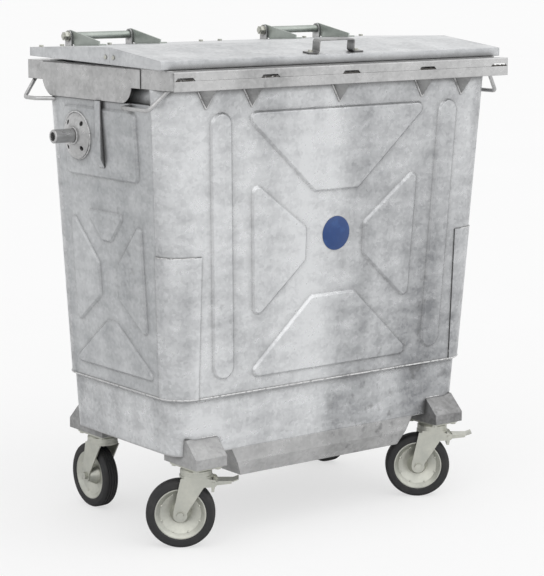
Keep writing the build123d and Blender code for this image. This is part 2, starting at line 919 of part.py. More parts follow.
def hinge_arm(x_low, foot_side):
    """Tapered arm from the bolt to the lid, with a foot along the lid's top."""
    x_high = x_low + arm_thickness
    tip_y = hinge_y - arm_reach
    heel_y = lid_rear_y - 2
    top_z = hinge_z + arm_end_radius
    points = [
        (tip_y, lid_top_z(tip_y)),
        (heel_y, lid_top_z(heel_y)),
        (hinge_y, hinge_z - arm_end_radius),
        (hinge_y, top_z),
        (tip_y, lid_top_z(tip_y) + arm_tip_height),
    ]
    arm = plate_yz(points, x_low, x_high)
    arm = arm + tube_x(arm_end_radius, x_low, x_high, hinge_y, hinge_z)
    foot_points = [
        (tip_y, lid_top_z(tip_y)),
        (heel_y, lid_top_z(heel_y)),
        (heel_y, lid_top_z(heel_y) + arm_foot_thickness),
        (tip_y, lid_top_z(tip_y) + arm_foot_thickness),
    ]
    foot_low = x_low if foot_side > 0 else x_high - arm_foot_width
    arm = arm + plate_yz(foot_points, foot_low, foot_low + arm_foot_width)
    return arm - tube_x(hinge_bolt_radius + running_fit, x_low - 1, x_high + 1, hinge_y, hinge_z)


def hinge_tube(unit):
    """Distance tube welded to the left arm."""
    x_low, x_high = hinge_layout(unit)["tube"]
    tube = tube_x(hinge_tube_radius, x_low, x_high, hinge_y, hinge_z)
    return tube - tube_x(hinge_bolt_radius + running_fit, x_low - 1, x_high + 1, hinge_y, hinge_z)


def hinge_bolt(unit):
    """Bolt with its head, and the nut and washer outside the left lug."""
    places = hinge_layout(unit)
    nut_face = places["lug_left"]
    head_face = places["end"] + face_gap
    nut_end = nut_face - washer_thickness - nut_length
    shank = tube_x(hinge_bolt_radius, nut_end - 4, head_face, hinge_y, hinge_z)
    washer = tube_x(washer_radius, nut_face - washer_thickness, nut_face, hinge_y, hinge_z)
    nut = hexagon_x(nut_radius, nut_end, nut_face - washer_thickness, hinge_y, hinge_z)
    head = hexagon_x(nut_radius, head_face, head_face + nut_length, hinge_y, hinge_z)
    return shank + washer + nut + head


def lid_bolt(x):
    """Hexagon bolt through the rear panel, with its nut underneath."""
    top = lid_top_z(lid_bolt_y)
    seat = top + 0.5
    head = hexagon_z(lid_bolt_head_radius, seat, seat + lid_bolt_head, x, lid_bolt_y)
    shank = upright(lid_bolt_radius, top - lid_sheet - 2 * lid_bolt_nut, seat, x, lid_bolt_y)
    nut_top = top - lid_sheet - 0.5
    nut = hexagon_z(lid_bolt_head_radius, nut_top - lid_bolt_nut, nut_top, x, lid_bolt_y)
    return head + shank + nut


def castor_place(side, end):
    """Pivot and trail direction of one castor."""
    y = front_castor_y if end < 0 else rear_castor_y
    turn = front_castor_turn if end < 0 else rear_castor_turn
    return Pos(side * castor_x, y, 0) * Rot(0, 0, turn)


def castor_bolt_places():
    return [(x, y) for x in (-castor_bolt_y, castor_bolt_y) for y in (-castor_bolt_x, castor_bolt_x)]


def castor_top():
    """Top plate with the upper race and the king pin."""
    low = plate_top_z - castor_plate
    plate = RectangleRounded(castor_plate_width, castor_plate_length, 12)
    top = Pos(0, 0, low) * extrude(plate, amount=castor_plate)
    for x, y in castor_bolt_places():
        top = top - upright(castor_bolt_radius + bolt_hole_gap, low - 1, plate_top_z + 1, x, y)
    race = Polygon(
        (0, low), (race_radius - 8, low), (race_radius, race_gap_z + 6),
        (race_radius, race_gap_z + face_gap), (0, race_gap_z + face_gap),
        align=None,
    )
    top = top + revolve(Plane.XZ * race, axis=Axis.Z)
    pin = upright(king_pin_radius, king_pin_bottom_z, race_gap_z + 1)
    pin_foot = crown_bottom_z - face_gap
    pin = pin + upright(king_pin_radius + 4, king_pin_bottom_z, pin_foot)
    return top + pin


def fork_leg_outline():
    """Raked outline of one leg, from the crown to the axle."""
    foot = (castor_trail, wheel_radius)
    leg = Polygon(
        (-crown_radius * 0.82, crown_bottom_z),
        (castor_trail - fork_foot_radius, wheel_radius + 8),
        (castor_trail - fork_foot_radius * 0.7, wheel_radius - fork_foot_radius * 0.72),
        (castor_trail + fork_foot_radius * 0.7, wheel_radius - fork_foot_radius * 0.72),
        (castor_trail + fork_foot_radius, wheel_radius + 8),
        (crown_radius * 0.9, crown_bottom_z),
        align=None,
    )
    return leg + Pos(*foot) * Circle(fork_foot_radius)


def fork_sides():
    """Inner edge in Y of each leg's plate."""
    return (-fork_inner_half - fork_leg, fork_inner_half)


def fork(braked):
    """Pressed fork: crown, lower race and two raked legs."""
    crown_top = crown_bottom_z + crown_thickness
    crown = upright(crown_radius, crown_bottom_z, crown_top)
    width = fork_inner_half + fork_leg
    crown = crown & block(-far, far, -width, width, 0, far)
    crown = crown + upright(race_radius, crown_top, race_gap_z)
    body = crown
    for y in fork_sides():
        body = body + plate_xz(fork_leg_outline(), y, y + fork_leg)
    if braked:
        for y in fork_sides():
            ear = Pos(pedal_pin_x, pedal_pin_z) * Circle(ear_radius)
            arm = Polygon(
                (pedal_pin_x, pedal_pin_z + ear_radius), (pedal_pin_x, pedal_pin_z - ear_radius),
                (-crown_radius * 0.4, crown_bottom_z - 26), (-crown_radius * 0.4, crown_bottom_z),
                align=None,
            )
            body = body + plate_xz(ear + arm, y, y + fork_leg)
        hole = Rot(90, 0, 0) * Cylinder(pedal_pin_radius + running_fit, 4 * fork_inner_half)
        body = body - Pos(pedal_pin_x, 0, pedal_pin_z) * hole
    body = body - upright(king_pin_radius + running_fit, crown_bottom_z - 1, race_gap_z + 1)
    axle_hole = Rot(90, 0, 0) * Cylinder(axle_radius + bolt_hole_gap, 4 * fork_inner_half)
    return body - Pos(castor_trail, 0, wheel_radius) * axle_hole


def axle():
    """Axle bolt across the fork, with head and nut."""
    width = fork_inner_half + fork_leg
    length = 2 * width
    bolt = Rot(90, 0, 0) * Cylinder(axle_radius, length + 2 * axle_nut)
    for hand in (-1, 1):
        y = width + axle_nut / 2
        head = Rot(90, 0, 0) * extrude(RegularPolygon(axle_nut_radius, 6), amount=axle_nut / 2, both=True)
        bolt = bolt + Pos(0, hand * y, 0) * head
    return Pos(castor_trail, 0, wheel_radius) * bolt


def wheel_profile(points):
    return revolve(Polygon(*points, align=None), axis=Axis.X)


def on_axle(solid):
    """Turn a solid made about X onto the axle, which lies along Y."""
    return Pos(castor_trail, 0, wheel_radius) * Rot(0, 0, 90) * solid


def tyre():
    half = tyre_width / 2
    points = [
        (-half + 3, tyre_inner_radius),
        (-half, tyre_inner_radius + 4),
        (-half, wheel_radius - tyre_shoulder),
        (-half + 6, wheel_radius - 2),
        (-half + 14, wheel_radius),
        (half - 14, wheel_radius),
        (half - 6, wheel_radius - 2),
        (half, wheel_radius - tyre_shoulder),
        (half, tyre_inner_radius + 4),
        (half - 3, tyre_inner_radius),
    ]
    return on_axle(wheel_profile(points))


def wheel_rim():
    """Two pressed halves back to back on a hub tube."""
    seat = tyre_inner_radius
    flat = rim_plate
    web_radius = hub_radius + rim_dish
    half = tyre_width / 2 - 3
    points = [
        (-half, seat),
        (-half, seat - flat),
        (-rim_dish, seat - flat - rim_dish),
        (-rim_plate, web_radius),
        (-hub_half_length + 4, hub_radius),
        (-hub_half_length, hub_radius - 3),
        (-hub_half_length, axle_radius + running_fit),
        (hub_half_length, axle_radius + running_fit),
        (hub_half_length, hub_radius - 3),
        (hub_half_length - 4, hub_radius),
        (rim_plate, web_radius),
        (rim_dish, seat - flat - rim_dish),
        (half, seat - flat),
        (half, seat),
    ]
    return on_axle(wheel_profile(points))


def brake_pedal():
    """Pedal tread, two cheeks, the pin they turn on and the shoe beside the tyre."""
    tip_x = pedal_pin_x - pedal_reach
    top_z = pedal_pin_z + pedal_pin_radius
    half = pedal_half_width
    tread_points = [
        (pedal_pin_x - 12, top_z), (tip_x + 16, top_z), (tip_x, top_z + pedal_tip_rise),
        (tip_x, top_z + pedal_tip_rise - pedal_sheet), (tip_x + 16, top_z - pedal_sheet),
        (pedal_pin_x - 12, top_z - pedal_sheet),
    ]
    pedal = plate_xz(Polygon(*tread_points, align=None), -half, half)
    cheek_outline = Polygon(
        (pedal_pin_x + 7, pedal_pin_z - 8), (pedal_pin_x + 7, pedal_pin_z + 6),
        (pedal_pin_x - 12, top_z), (tip_x + 20, top_z), (tip_x + 20, top_z - 8),
        (pedal_pin_x - 8, pedal_pin_z - 8),
        align=None,
    )
    pedal = pedal + plate_xz(cheek_outline, -half, -half + pedal_sheet)
    pedal = pedal + plate_xz(cheek_outline, half - pedal_sheet, half)
    shoe_outline = Polygon(
        (pedal_pin_x - 6, pedal_pin_z), (pedal_pin_x - 2, pedal_pin_z - pedal_shoe_drop),
        (pedal_pin_x + 6, pedal_pin_z - pedal_shoe_drop), (pedal_pin_x + 6, pedal_pin_z),
        align=None,
    )
    pedal = pedal + plate_xz(shoe_outline, -half, half)
    pin_length = 2 * (fork_inner_half + fork_leg + 3)
    pin = Rot(90, 0, 0) * Cylinder(pedal_pin_radius, pin_length)
    pedal = pedal + Pos(pedal_pin_x, 0, pedal_pin_z) * pin
    return pedal


def castor_bolts(side, end):
    """Four bolts, heads under the top plate and nuts above the bracket's base."""
    bolts = []
    low = plate_top_z - castor_plate
    high = plate_top_z + bracket_base
    for x, y in castor_bolt_places():
        bolt = upright(castor_bolt_radius, low - castor_bolt_head, high + castor_bolt_head, x, y)
        bolt = bolt + hexagon_z(castor_bolt_head_radius, low - castor_bolt_head, low, x, y)
        bolt = bolt + hexagon_z(castor_bolt_head_radius, high, high + castor_bolt_head, x, y)
        place = Pos(side * castor_x, front_castor_y if end < 0 else rear_castor_y, 0)
        bolts.append(place * bolt)
    return bolts


def castor_bracket(side, end):
    """Sheet hood with cheeks and a base plate, welded to tub and floor."""
    base_low = plate_top_z
    base_high = plate_top_z + bracket_base
    pivot = front_castor_y if end < 0 else rear_castor_y
    wall = front_y(tub_bottom_z) + ledge_step if end < 0 else -(rear_y(tub_bottom_z) - ledge_step)
    outer = wall - bracket_reach
    depth = bracket_inner_reach - abs(pivot)
    fold_z = base_high + bracket_face
    top_z = fold_z + bracket_hood_rise
    x_low = side * castor_x - bracket_half_width
    x_high = side * castor_x + bracket_half_width
    points = [
        (outer, base_high), (outer, fold_z), (wall, top_z), (wall + 20, top_z),
        (wall + 20, base_high),
    ]
    hood = plate_yz(points, x_low, x_high)
    sheet = bracket_sheet
    inner = [
        (outer + sheet, base_high - 1), (outer + sheet, fold_z - 1), (wall + sheet, top_z - sheet),
        (wall + 20 + sheet, top_z - sheet), (wall + 20 + sheet, base_high - 1),
    ]
    hood = hood - plate_yz(inner, x_low + sheet, x_high - sheet)
    base = block(x_low, x_high, outer, depth, base_low, base_high)
    rear_wall = block(
        x_low, x_high, depth - sheet, depth, base_high, tub_bottom_z - wall_sheet
    )
    bracket = hood + base + rear_wall
    for hand in (0, 1):
        cheek_low = x_low + hand * (2 * bracket_half_width - sheet)
        cheek = block(
            cheek_low, cheek_low + sheet, wall, depth, base_high, tub_bottom_z - wall_sheet
        )
        bracket = bracket + cheek
    if end > 0:
        bracket = mirror(bracket, about=Plane.XZ)
    for x, y in castor_bolt_places():
        hole_x = side * castor_x + x
        hole = upright(castor_bolt_radius + bolt_hole_gap, base_low - 1, base_high + 1, hole_x, pivot + y)
        bracket = bracket - hole
    room = tapered(tub_bottom_z - wall_sheet, ledge_z - ledge_drop, -ledge_step)
    return bracket - room - belly_block(0, tub_bottom_z - wall_sheet)


def write(name, shape):
    """Write one sub-part, which may be a group of separate solids."""
    if isinstance(shape, (list, tuple)):
        solids = [solid for piece in shape for solid in piece.solids()]
        shape = Compound(children=solids)
    else:
        solids = shape.solids()
        shape = solids[0] if len(solids) == 1 else Compound(children=list(solids))
    export_step(shape, f"parts/{name}.step")


def write_body():
    front, rear, left, right = walls()
    write("front_wall", front)
    write("rear_wall", rear)
    write("left_wall", left)
    write("right_wall", right)
    write("tub_wall", tub())
    write("floor_pan", floor_pan())
    write("rim_frame", rim_frame())
    write("comb_rail_upper", comb_rail_upper())
    write("comb_rail_lower", comb_rail_lower())
    write("comb_gussets", [comb_gusset(x) for x in gusset_places])
    write("corner_guards", corner_guards())
    for hand, name in ((-1, "left"), (1, "right")):
        write(f"skirt_{name}", skirt(hand))
        front_bar = carry_handle(
            hand, front_handle_start, front_handle_corner, front_handle_turn, front_handle_end
        )
        rear_bar = carry_handle(
            hand, rear_handle_start, rear_handle_corner, rear_handle_turn, rear_handle_end
        )
        write(f"carry_handle_front_{name}", front_bar)
        write(f"carry_handle_rear_{name}", rear_bar)
        write(f"trunnion_{name}", trunnion(hand))
        write(f"trunnion_flange_{name}", trunnion_flange(hand))
    write("side_stiffeners", [side_stiffener(hand) for hand in (-1, 1)])


def write_lid():
    front, rear = lid_panels()
    write("lid_front_panel", front)
    bolts = [lid_bolt(x) for x in lid_bolt_places]
    for x in lid_bolt_places:
        hole = upright(lid_bolt_radius + bolt_hole_gap, rim_top_z, 2 * far, x, lid_bolt_y)
        rear = rear - hole
    for y in rivet_rows():
        hole = tube_x(rivet_radius + bolt_hole_gap, -far, far, y, rivet_z())
        rear = rear - hole
        front = front - hole
    write("lid_front_panel", front)
    write("lid_rear_panel", rear)
    write("lid_bolts", bolts)
    write("lid_ridge_channel", ridge_channel())
    write("lid_side_splices", side_splices())
    write("lid_rivets", splice_rivets())
    write("lid_strap_handle", strap_handle())
    lugs = []
    arms = []
    for unit in (-1, 1):
        places = hinge_layout(unit)
        lugs += [hinge_lug(places["lug_left"]), hinge_lug(places["lug_right"])]
        arms += [hinge_arm(places["arm_left"], 1), hinge_arm(places["arm_right"], 1)]
    write("hinge_lugs", lugs)
    write("hinge_arms", arms)
    write("hinge_tubes", [hinge_tube(-1), hinge_tube(1)])
    write("hinge_bolts", [hinge_bolt(-1), hinge_bolt(1)])


def write_castors():
    bolts = []
    for side, side_name in ((-1, "left"), (1, "right")):
        for end, end_name in ((-1, "front"), (1, "rear")):
            name = f"{end_name}_{side_name}"
            place = castor_place(side, end)
            flat = Pos(side * castor_x, front_castor_y if end < 0 else rear_castor_y, 0)
            write(f"castor_bracket_{name}", castor_bracket(side, end))
            write(f"castor_plate_{name}", flat * castor_top())
            write(f"castor_fork_{name}", place * fork(end < 0))
            write(f"castor_axle_{name}", place * axle())
            write(f"wheel_rim_{name}", place * wheel_rim())
            write(f"wheel_tyre_{name}", place * tyre())
            bolts += castor_bolts(side, end)
            if end < 0:
                write(f"brake_pedal_{name}", place * brake_pedal())
    write("castor_bolts", bolts)


os.makedirs("parts", exist_ok=True)
write_body()
write_lid()
write_castors()
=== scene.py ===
import logging
import math
from dataclasses import dataclass, field
from enum import Enum
from typing import Any, Dict, Iterable, List, Optional, Sequence, Tuple

import bpy
from mathutils import Matrix, Vector


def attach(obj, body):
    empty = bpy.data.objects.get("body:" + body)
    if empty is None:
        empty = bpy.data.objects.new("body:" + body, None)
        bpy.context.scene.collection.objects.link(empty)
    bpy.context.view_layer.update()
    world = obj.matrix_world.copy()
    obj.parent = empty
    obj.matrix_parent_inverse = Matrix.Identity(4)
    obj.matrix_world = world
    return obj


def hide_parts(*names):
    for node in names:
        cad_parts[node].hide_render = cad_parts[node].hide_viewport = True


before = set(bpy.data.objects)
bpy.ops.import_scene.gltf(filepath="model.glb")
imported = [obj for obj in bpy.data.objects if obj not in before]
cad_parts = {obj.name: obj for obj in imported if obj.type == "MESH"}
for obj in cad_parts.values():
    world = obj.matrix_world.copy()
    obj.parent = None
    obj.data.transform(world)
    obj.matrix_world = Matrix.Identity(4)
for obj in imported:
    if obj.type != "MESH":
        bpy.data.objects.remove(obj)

Point = Tuple[float, float, float]
Colour = Tuple[float, float, float, float]
Profile = Tuple[Tuple[float, float], ...]

MM = 0.001  # metres in a millimetre
TIP = 0.01  # radius in millimetres at which a turned face closes on its axis
EDGE_SAMPLES = 6  # of the nodes that look for edges and creases
WHITE: Colour = (1, 1, 1, 1)

log = logging.getLogger("container")
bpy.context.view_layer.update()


# ---------------------------------------------------------------- shader maths
class Sock:
    """A shader socket that takes part in Python expressions."""

    def __init__(self, book: "NodeBook", socket: bpy.types.NodeSocket) -> None:
        """Keep the socket and the node book that it belongs to."""
        self.book = book
        self.socket = socket

    def _math(self, operation: str, first: Any, second: Any) -> "Sock":
        """Add one Math node.

        Args:
            operation: name of the Math node's operation.
            first: left value or socket.
            second: right value or socket.

        Returns:
            The node's result.
        """
        return self.book.add("ShaderNodeMath", {"operation": operation}, {0: first, 1: second})

    def __add__(self, other: Any) -> "Sock":
        """Sum with a value or socket."""
        return self._math("ADD", self, other)

    __radd__ = __add__

    def __mul__(self, other: Any) -> "Sock":
        """Product with a value or socket."""
        return self._math("MULTIPLY", self, other)

    __rmul__ = __mul__

    def __sub__(self, other: Any) -> "Sock":
        """Difference, self first."""
        return self._math("SUBTRACT", self, other)

    def __rsub__(self, other: Any) -> "Sock":
        """Difference, self last."""
        return self._math("SUBTRACT", other, self)

    def larger(self, other: Any) -> "Sock":
        """The larger of this and another value or socket."""
        return self._math("MAXIMUM", self, other)

    def above(self, edge: float, width: float) -> "Sock":
        """Soft step from 0 to 1.

        Args:
            edge: value at which the step starts.
            width: how far the step takes to reach 1.

        Returns:
            The clamped ramp.
        """
        settings = {"interpolation_type": "SMOOTHSTEP"}
        values = {"Value": self, "From Min": edge, "From Max": edge + width}
        return self.book.add("ShaderNodeMapRange", settings, values)

    def clamp(self) -> "Sock":
        """Limit to the range from 0 to 1."""
        return self.book.add("ShaderNodeClamp", {}, {"Value": self})


@dataclass(frozen=True)
class Pattern:
    """One noise: cells per metre, octaves, and the stretch on each axis."""

    scale: float
    detail: float = 3.0
    stretch: Point = (1, 1, 1)


class NodeBook:
    """The node tree of one material or world, filled by one method."""

    def __init__(self, owner: Any) -> None:
        """Empty the node tree of a new material or world.

        Args:
            owner: the material or world.
        """
        owner.use_nodes = True
        self.owner = owner
        self.tree = owner.node_tree
        self.tree.nodes.clear()

    @classmethod
    def material(cls, name: str) -> "NodeBook":
        """Start a material of this name."""
        return cls(bpy.data.materials.new(name))

    def add(
        self,
        kind: str,
        settings: Optional[Dict[str, Any]] = None,
        values: Optional[Dict[Any, Any]] = None,
        output: Any = 0,
    ) -> Sock:
        """Add any node.

        Args:
            kind: the node's type name.
            settings: properties, set first.
            values: numbers, colours or sockets for the inputs, by name or index.
            output: name or index of the output to return.

        Returns:
            The chosen output.
        """
        node = self.tree.nodes.new(kind)
        for key, value in (settings or {}).items():
            setattr(node, key, value)
        for key, value in (values or {}).items():
            if isinstance(value, Sock):
                self.tree.links.new(value.socket, node.inputs[key])
            else:
                node.inputs[key].default_value = value
        return Sock(self, node.outputs[output] if len(node.outputs) else None)

    def place(self) -> Sock:
        """Object coordinates, in metres."""
        return self.add("ShaderNodeTexCoord", output="Object")

    def ray(self, kind: str) -> Sock:
        """1 for rays of a kind, such as Is Camera Ray, else 0."""
        return self.add("ShaderNodeLightPath", output=kind)

    def noise(self, pattern: Pattern) -> Sock:
        """Soft noise over the object.

        Args:
            pattern: its scale, detail and stretch.

        Returns:
            The noise value.
        """
        stretched = {"Vector": self.place(), "Scale": pattern.stretch}
        where = self.add("ShaderNodeMapping", {}, stretched)
        values = {"Vector": where, "Scale": pattern.scale, "Detail": pattern.detail}
        return self.add("ShaderNodeTexNoise", {}, values)

    def cells(self, scale: float) -> Sock:
        """Grey value that is even within each crystal of the zinc.

        Args:
            scale: crystals per metre.

        Returns:
            The value.
        """
        values = {"Vector": self.place(), "Scale": scale}
        colour = self.add("ShaderNodeTexVoronoi", {}, values, "Color")
        return self.add("ShaderNodeSeparateColor", {}, {0: colour})

    def mix(self, factor: Any, first: Any, second: Any) -> Sock:
        """Blend two colours.

        Args:
            factor: share of the second colour.
            first: first colour.
            second: second colour.

        Returns:
            The blended colour.
        """
        values = {0: factor, 6: first, 7: second}
        return self.add("ShaderNodeMix", {"data_type": "RGBA"}, values, 2)

    def bump(
        self, height: Sock, distance: float, strength: float = 1.0, normal: Optional[Sock] = None
    ) -> Sock:
        """Bump from a height in 0 to 1.

        Args:
            height: the height.
            distance: depth of the bump in metres.
            strength: share of it that shows.
            normal: normal that it starts from, where not the mesh's own.

        Returns:
            The bent normal.
        """
        values: Dict[Any, Any] = {"Height": height, "Distance": distance, "Strength": strength}
        if normal is not None:
            values["Normal"] = normal
        return self.add("ShaderNodeBump", {}, values)

    def rounded(self, radius: float) -> Sock:
        """Normal of the surface, with its edges rounded to a radius in metres."""
        return self.add("ShaderNodeBevel", {"samples": EDGE_SAMPLES}, {"Radius": radius})

    def open_sky(self, reach: float) -> Sock:
        """Share of the hemisphere that is open within a reach in metres: low in creases."""
        settings = {"samples": EDGE_SAMPLES}
        return self.add("ShaderNodeAmbientOcclusion", settings, {"Distance": reach}, "AO")

    def surface(self, values: Dict[str, Any]) -> bpy.types.Material:
        """Finish the material with one principled shader.

        Args:
            values: numbers, colours or sockets for its inputs.

        Returns:
            The material.
        """
        shader = self.add("ShaderNodeBsdfPrincipled", {}, values)
        self.add("ShaderNodeOutputMaterial", {}, {"Surface": shader})
        return self.owner


# ---------------------------------------------------------------- finishes
@dataclass(frozen=True)
class GalvanisedSheet:
    """Hot-dip galvanised sheet: satin, with clouds, bands, fine crystals, stains, and painted
    shade that darkens its creases.
    """

    name: str
    bright: Colour = (0.68, 0.69, 0.70, 1)
    dull: Colour = (0.22, 0.225, 0.235, 1)
    # colour of the stains, also used for the painted shade in creases
    stain_and_shade_colour: Colour = (0.14, 0.14, 0.14, 1)
    roughness: float = 0.28
    metallic: float = 0.72
    stain_amount: float = 0.5
    band_amount: float = 1.0
    edge_radius: float = 0.005
    # reach and strength of the painted shade that darkens creases and corners
    crease_shade_reach: float = 0.022
    crease_shade_amount: float = 2.6
    cloud: Pattern = Pattern(2.4, 4.0, (1, 1, 0.5))
    band: Pattern = Pattern(3.6, 3.0, (1, 1, 0.12))
    grain: Pattern = Pattern(15.0, 5.0, (0.7, 0.7, 1.8))
    streak: Pattern = Pattern(16.0, 4.0, (1, 1, 0.07))
    spot: Pattern = Pattern(30.0, 6.0)
    buckle: Pattern = Pattern(5.0, 1.0)
    pitting: Pattern = Pattern(240.0, 2.0)
    crystals: float = 110.0
    band_contrast: float = 0.42
    bump_depth: float = 0.0025
    bump_amount: float = 0.6

    def make(self) -> bpy.types.Material:
        """Build the material."""
        book = NodeBook.material(self.name)
        cloud = book.noise(self.cloud)
        band = book.noise(self.band).above(0.40, 0.28) - 0.5
        grain = book.noise(self.grain)
        crystal = book.cells(self.crystals)
        streak = book.noise(self.streak)
        tone = cloud * 1.5 + grain * 0.9 + crystal * 0.22 + streak * 0.6 - 1.2
        tone = (tone + band * (self.band_contrast * self.band_amount)).clamp()
        colour = book.mix(tone, self.bright, self.dull)
        spots = book.noise(self.spot).above(0.58, 0.12) * cloud.above(0.46, 0.2)
        # painted shade: ambient occlusion darkens the base colour in creases, at the feet of
        # pressings and under rims
        crease_shade = 1.0 - book.open_sky(self.crease_shade_reach)
        stains_and_crease_shade = (spots * self.stain_amount + crease_shade * self.crease_shade_amount).clamp()
        rough = self.roughness + 0.16 * grain + 0.08 * crystal + 0.2 * spots - 0.08
        wave = book.noise(self.buckle) * 0.8 + crystal * 0.05 + book.noise(self.pitting) * 0.08
        edges = book.rounded(self.edge_radius)
        return book.surface({
            # the base colour takes both the real stains and the painted crease shade
            "Base Color": book.mix(stains_and_crease_shade, colour, self.stain_and_shade_colour),
            "Metallic": self.metallic,
            "Roughness": rough.clamp(),
            "Normal": book.bump(wave, self.bump_depth, self.bump_amount, edges),
        })


@dataclass(frozen=True)
class ZincPlating:
    """Electroplated zinc: a little yellow and green, duller in patches."""

    name: str
    light: Colour = (0.56, 0.56, 0.50, 1)
    dark: Colour = (0.30, 0.31, 0.29, 1)
    roughness: float = 0.36
    metallic: float = 0.85
    cloud: Pattern = Pattern(14.0, 5.0)
    speck: Pattern = Pattern(120.0, 4.0)
    speck_depth: float = 0.0006

    def make(self) -> bpy.types.Material:
        """Build the material."""
        book = NodeBook.material(self.name)
        cloud = book.noise(self.cloud)
        speck = book.noise(self.speck)
        tone = (cloud * 1.3 + speck * 0.3 - 0.45).clamp()
        colour = book.mix(tone, self.light, self.dark)
        rough = (self.roughness + 0.2 * cloud + 0.1 * speck - 0.1).clamp()
        return book.surface({
            "Base Color": colour,
            "Metallic": self.metallic,
            "Roughness": rough,
            "Normal": book.bump(speck, self.speck_depth, 0.5),
        })


@dataclass(frozen=True)
class SolidRubber:
    """Black tyre rubber with grey dust and fine mould marks."""

    name: str
    black: Colour = (0.012, 0.012, 0.013, 1)
    dust: Colour = (0.045, 0.043, 0.041, 1)
    dust_amount: float = 0.6
    dirt: Pattern = Pattern(22.0, 6.0)
    fine: Pattern = Pattern(350.0, 3.0)
    mark_depth: float = 0.0008

    def make(self) -> bpy.types.Material:
        """Build the material."""
        book = NodeBook.material(self.name)
        dirt = book.noise(self.dirt)
        fine = book.noise(self.fine)
        amount = dirt.above(0.45, 0.35) * self.dust_amount
        colour = book.mix(amount, self.black, self.dust)
        return book.surface({
            "Base Color": colour,
            "Roughness": (0.52 + 0.3 * dirt).clamp(),
            "Normal": book.bump(fine * 0.5 + dirt * 0.5, self.mark_depth, 0.6),
        })


@dataclass(frozen=True)
class WeldMetal:
    """Zinc over a weld: lumpy, with dark flux marks."""

    name: str
    light: Colour = (0.60, 0.60, 0.60, 1)
    dark: Colour = (0.30, 0.30, 0.30, 1)
    darkness: float = 0.3
    metallic: float = 0.6
    lumps: Pattern = Pattern(90.0, 5.0)
    lump_depth: float = 0.0015

    def make(self) -> bpy.types.Material:
        """Build the material."""
        book = NodeBook.material(self.name)
        lump = book.noise(self.lumps)
        tone = lump.above(0.62 - 0.4 * self.darkness, 0.2)
        return book.surface({
            "Base Color": book.mix(tone, self.light, self.dark),
            "Metallic": self.metallic,
            "Roughness": (0.42 + 0.25 * lump).clamp(),
            "Normal": book.bump(lump, self.lump_depth, 0.8),
        })


@dataclass(frozen=True)
class EnamelDisc:
    """Plain blue enamel, a little faded in patches."""

    name: str
    blue: Colour = (0.010, 0.045, 0.17, 1)
    faded: Colour = (0.03, 0.09, 0.26, 1)
    fading: Pattern = Pattern(40.0, 4.0)
    fade_depth: float = 0.0003

    def make(self) -> bpy.types.Material:
        """Build the material."""
        book = NodeBook.material(self.name)
        fade = book.noise(self.fading)
        return book.surface({
            "Base Color": book.mix(fade.above(0.45, 0.4), self.blue, self.faded),
            "Roughness": (0.28 + 0.2 * fade).clamp(),
            "Normal": book.bump(fade, self.fade_depth, 0.4),
        })


class Finish(Enum):
    """The finishes that pieces and nodes can have."""

    WALL = GalvanisedSheet("galvanised wall sheet")
    # painted shade: a darker copy of the wall sheet, so that the side walls read as the shaded
    # side
    SHADED_SIDE = GalvanisedSheet(
        "galvanised side sheet with painted shade", bright=(0.56, 0.57, 0.58, 1), dull=(0.27, 0.28, 0.29, 1),
        roughness=0.34, band_amount=0.4,
    )
    LID = GalvanisedSheet(
        "galvanised lid sheet", bright=(0.62, 0.63, 0.64, 1), dull=(0.33, 0.34, 0.35, 1),
        roughness=0.3, stain_amount=0.15, band_amount=0.3,
    )
    FRAME = GalvanisedSheet(
        "galvanised profile", bright=(0.56, 0.56, 0.56, 1), dull=(0.25, 0.25, 0.25, 1),
        band_amount=0.4, edge_radius=0.002, crease_shade_reach=0.010,
    )
    # a dark copy of the galvanised sheet; on the comb gussets under the rail its darkness is
    # painted shade
    HOOD = GalvanisedSheet(
        "dark galvanised", bright=(0.42, 0.42, 0.42, 1), dull=(0.15, 0.15, 0.15, 1),
        roughness=0.42, stain_amount=0.6, band_amount=0.3, edge_radius=0.003,
    )
    ZINC = ZincPlating("zinc-plated steel")
    ARM = ZincPlating("grey-green zinc", light=(0.42, 0.45, 0.42, 1), dark=(0.22, 0.25, 0.23, 1))
    RUBBER = SolidRubber("black tyre rubber")
    WELD = WeldMetal("zinc over weld")
    BURNT = WeldMetal("dark rough weld", dark=(0.07, 0.065, 0.06, 1), darkness=0.9)
    DISC = EnamelDisc("blue enamel disc")


class Paint:
    """Makes each finish once and hands it out."""

    def __init__(self) -> None:
        """Start with no material made."""
        self._made: Dict[Finish, bpy.types.Material] = {}

    def get(self, finish: Finish) -> bpy.types.Material:
        """Material of a finish, made on first use."""
        if finish not in self._made:
            self._made[finish] = finish.value.make()
        return self._made[finish]

    def node(self, names: Iterable[str], finish: Finish) -> None:
        """Dress CAD nodes in a finish.

        Args:
            names: node names.
            finish: the finish to give them.
        """
        for name in names:
            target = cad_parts[name]
            for slot in target.material_slots:
                slot.material = self.get(finish)
            log.info("node %s: %s", name, finish.name)


